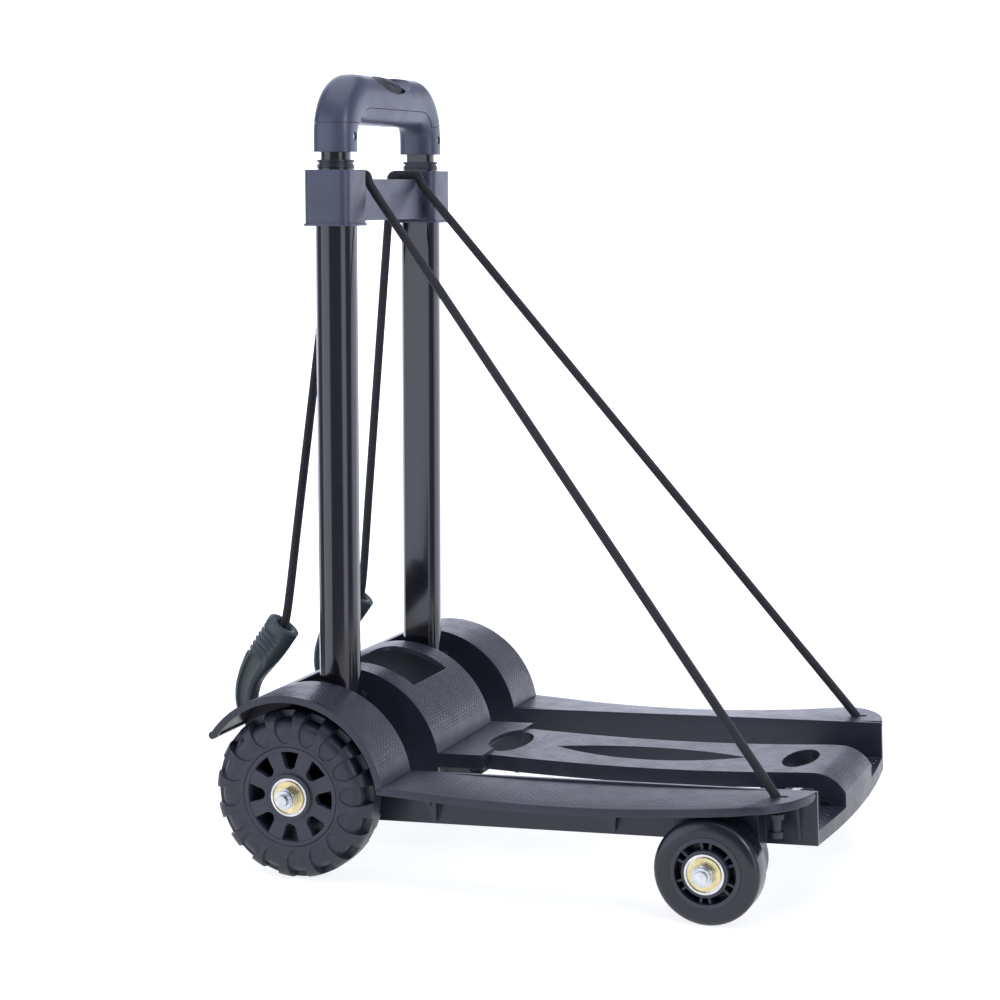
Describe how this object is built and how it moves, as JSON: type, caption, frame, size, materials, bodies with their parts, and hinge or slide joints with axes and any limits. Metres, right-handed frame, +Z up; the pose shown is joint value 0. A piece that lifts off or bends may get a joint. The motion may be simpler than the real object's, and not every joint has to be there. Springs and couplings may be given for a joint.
{
  "type": "folding luggage cart",
  "caption": "Folding luggage cart: moulded platform on wheels, telescopic twin-tube mast with grip handle and release button, hooked elastic cords.",
  "frame": {"origin": "centre of the cart's footprint on the floor plane, midway across the platform and midway between the nose and the hooks' rear", "axes": "+X across the cart to its right, -Y forwards to the nose, +Z up from the floor along the upright mast"},
  "size_m": [0.322, 0.4298, 0.532],
  "materials": {
    "deck_plastic": "moulded blue-black polypropylene, embossed checker and ribs, light scuffs",
    "zinc_steel": "bright zinc plate",
    "yellow_zinc": "yellow zinc plate",
    "hub_plastic": "satin moulded plastic",
    "tyre_plastic": "semi-hard moulded tread, dusty",
    "cup_steel": "pressed bright steel",
    "foot_plastic": "glass-filled nylon",
    "tube_paint": "gloss black powder coat on steel",
    "pin_steel": "bright steel",
    "collar_plastic": "satin moulded plastic",
    "bush_plastic": "nylon",
    "plug_plastic": "nylon",
    "handle_plastic": "fine spark-eroded texture",
    "button_plastic": "smooth",
    "cord_fabric": "braided sheath",
    "cord_plug_plastic": "soft moulded plastic",
    "hook_plastic": "grey-green moulded plastic, ribbed barrel"
  },
  "bodies": {
    "base": {"platform": "deck_plastic", "deck_flange_left": "deck_plastic", "deck_flange_right": "deck_plastic", "rear_axle": "zinc_steel", "rear_nuts": "zinc_steel", "rear_washers": "yellow_zinc", "rear_spacers": "yellow_zinc", "front_bolts": "zinc_steel", "front_nuts": "zinc_steel", "front_washers": "yellow_zinc", "front_spacers": "yellow_zinc", "cord_plugs": "cord_plug_plastic", "cord_left": "cord_fabric", "cord_right": "cord_fabric", "hook_left": "hook_plastic", "hook_right": "hook_plastic"},
    "rear_wheel_left": {"rear_hub_left": "hub_plastic", "rear_tyre_left": "tyre_plastic", "rear_cups_left": "cup_steel"},
    "rear_wheel_right": {"rear_hub_right": "hub_plastic", "rear_tyre_right": "tyre_plastic", "rear_cups_right": "cup_steel"},
    "front_wheel_left": {"front_hub_left": "hub_plastic", "front_tyre_left": "tyre_plastic", "front_cups_left": "cup_steel"},
    "front_wheel_right": {"front_hub_right": "hub_plastic", "front_tyre_right": "tyre_plastic", "front_cups_right": "cup_steel"},
    "mast": {"mast_foot_left": "foot_plastic", "mast_foot_right": "foot_plastic", "mast_tube_left": "tube_paint", "mast_tube_right": "tube_paint", "foot_pins": "pin_steel", "collar": "collar_plastic"},
    "stage_two": {"stage_two_tube_left": "tube_paint", "stage_two_tube_right": "tube_paint", "stage_two_bush_left": "bush_plastic", "stage_two_bush_right": "bush_plastic", "stage_two_plugs": "plug_plastic"},
    "stage_three": {"stage_three_tube_left": "tube_paint", "stage_three_tube_right": "tube_paint", "stage_three_plugs": "plug_plastic", "handle_upper": "handle_plastic", "handle_lower": "handle_plastic", "handle_screws": "pin_steel", "button_spring": "pin_steel"},
    "button": {"thumb_button": "button_plastic", "release_yoke": "plug_plastic", "release_rod_left": "pin_steel", "release_rod_right": "pin_steel"}
  },
  "joints": [
    {"name": "mast_fold", "type": "hinge", "parent": "base", "child": "mast", "pos_m": [0, 0.1363, 0.0566], "axis": [1, 0, 0], "range_deg": [0, 86.8], "deforming": ["cord_left", "cord_right"]},
    {"name": "stage_two_slide", "type": "slide", "parent": "mast", "child": "stage_two", "axis": [0, 0, 1], "range_m": [0, 0.23]},
    {"name": "stage_three_slide", "type": "slide", "parent": "stage_two", "child": "stage_three", "axis": [0, 0, 1], "range_m": [0, 0.23]},
    {"name": "button_press", "type": "slide", "parent": "stage_three", "child": "button", "axis": [0, 0, -1], "range_m": [0, 0.003], "stiffness_N_per_m": 600, "springref_m": -0.004, "deforming": ["button_spring"]},
    {"name": "rear_wheel_left_spin", "type": "hinge", "parent": "base", "child": "rear_wheel_left", "pos_m": [0, 0.1363, 0.0566], "axis": [1, 0, 0], "continuous": true},
    {"name": "rear_wheel_right_spin", "type": "hinge", "parent": "base", "child": "rear_wheel_right", "pos_m": [0, 0.1363, 0.0566], "axis": [1, 0, 0], "continuous": true},
    {"name": "front_wheel_left_spin", "type": "hinge", "parent": "base", "child": "front_wheel_left", "pos_m": [0, -0.1483, 0.0342], "axis": [1, 0, 0], "continuous": true},
    {"name": "front_wheel_right_spin", "type": "hinge", "parent": "base", "child": "front_wheel_right", "pos_m": [0, -0.1483, 0.0342], "axis": [1, 0, 0], "continuous": true}
  ]
}
